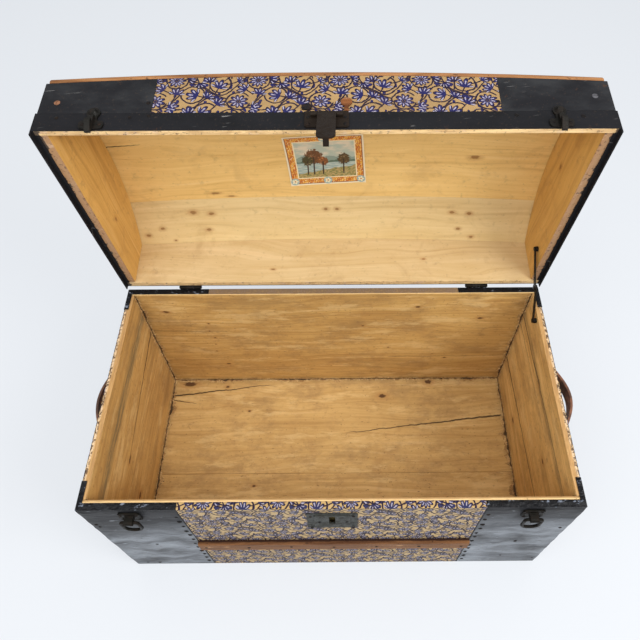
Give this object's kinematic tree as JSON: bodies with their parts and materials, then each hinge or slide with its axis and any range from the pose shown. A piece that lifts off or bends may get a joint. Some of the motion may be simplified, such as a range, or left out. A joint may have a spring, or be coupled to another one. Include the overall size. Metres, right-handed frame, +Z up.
{
  "type": "dome top trunk",
  "caption": "Dome top trunk of pine boards under printed tin and black sheet iron, its hinged lid held by a stay, with a hasp and lock, draw bolts and leather end handles.",
  "frame": {"origin": "middle of the body's underside, on the surface that the trunk stands on", "axes": "+X to the right along the trunk's length, +Y towards the back, where the hinges are, +Z up"},
  "size_m": [0.8782, 0.5933, 0.8302],
  "materials": {
    "pine_old": "satin, aged golden brown",
    "pine_pale": "satin, pale",
    "slat_wood": "worn brown varnish",
    "printed_tin": "satin, printed with vines and flowers",
    "black_iron": "worn black japan",
    "dark_iron": "dull, browned",
    "lock_steel": "tarnished",
    "lock_brass": "tarnished",
    "leather": "worn, dark brown"
  },
  "bodies": {
    "trunk_body": {"wall_front": "pine_old", "wall_back": "pine_old", "end_left_lower": "pine_old", "end_left_upper": "pine_old", "end_right_lower": "pine_old", "end_right_upper": "pine_old", "floor_front": "pine_old", "floor_back": "pine_old", "print_front": "printed_tin", "print_back": "printed_tin", "print_end_left": "printed_tin", "print_end_right": "printed_tin", "corner_front_left": "black_iron", "corner_front_right": "black_iron", "corner_back_left": "black_iron", "corner_back_right": "black_iron", "slat_front": "slat_wood", "slat_back": "slat_wood", "lock_plate": "lock_steel", "bail_base_left": "dark_iron", "bail_base_right": "dark_iron", "handle_strap_left": "leather", "handle_strap_right": "leather", "handle_cap_left_front": "dark_iron", "handle_cap_left_back": "dark_iron", "handle_cap_right_front": "dark_iron", "handle_cap_right_back": "dark_iron", "hinge_leaf_body_left": "dark_iron", "hinge_leaf_body_right": "dark_iron", "hinge_pin_left": "dark_iron", "hinge_pin_right": "dark_iron", "stay_stud_body": "dark_iron"},
    "lid": {"lid_front": "pine_pale", "lid_back": "pine_pale", "lid_end_left": "pine_pale", "lid_end_right": "pine_pale", "dome_plank_1": "pine_pale", "dome_plank_2": "pine_pale", "dome_plank_3": "pine_pale", "dome_plank_4": "pine_pale", "lid_print": "printed_tin", "lid_cap_left": "black_iron", "lid_cap_right": "black_iron", "lid_band": "black_iron", "lid_slat_front": "slat_wood", "lid_slat_crown": "slat_wood", "lid_slat_back": "slat_wood", "hasp_plate": "dark_iron", "catch_left": "dark_iron", "catch_right": "dark_iron", "hinge_leaf_lid_left": "dark_iron", "hinge_leaf_lid_right": "dark_iron", "stay_stud_lid": "dark_iron"},
    "stay_lower": {"stay_arm_lower": "dark_iron"},
    "stay_upper": {"stay_arm_upper": "dark_iron"},
    "hasp": {"hasp_flap": "dark_iron"},
    "bail_left": {"bail_left": "dark_iron"},
    "bail_right": {"bail_right": "dark_iron"},
    "lock_bolt": {"lock_bolt": "lock_brass"}
  },
  "joints": [
    {"name": "lid_hinge", "type": "hinge", "parent": "trunk_body", "child": "lid", "pos_m": [0, 0.2203, 0.3685], "axis": [1, 0, 0], "range_deg": [0, 83.4]},
    {"name": "stay_lower_pivot", "type": "hinge", "parent": "trunk_body", "child": "stay_lower", "pos_m": [0.3864, 0.1438, 0.3564], "axis": [1, 0, 0], "range_deg": [0, 103.8]},
    {"name": "stay_upper_pivot", "type": "hinge", "parent": "lid", "child": "stay_upper", "pos_m": [0.3837, 0.23944, 0.45799], "axis": [1, 0, 0], "range_deg": [-106.8, 0]},
    {"name": "hasp_hinge", "type": "hinge", "parent": "lid", "child": "hasp", "pos_m": [0, 0.19387, 0.81009], "axis": [-1, 0, 0], "range_deg": [-20, 120]},
    {"name": "bail_left_hinge", "type": "hinge", "parent": "trunk_body", "child": "bail_left", "pos_m": [-0.326, -0.228, 0.342], "axis": [-1, 0, 0], "range_deg": [0, 178]},
    {"name": "bail_right_hinge", "type": "hinge", "parent": "trunk_body", "child": "bail_right", "pos_m": [0.326, -0.228, 0.342], "axis": [-1, 0, 0], "range_deg": [0, 178]},
    {"name": "lock_bolt_slide", "type": "slide", "parent": "trunk_body", "child": "lock_bolt", "axis": [-1, 0, 0], "range_m": [0, 0.009]}
  ],
  "couplings": [
    {"joint": "stay_lower_pivot", "follows": "lid_hinge", "ratio": 1.243},
    {"joint": "stay_upper_pivot", "follows": "lid_hinge", "ratio": -1.279}
  ]
}
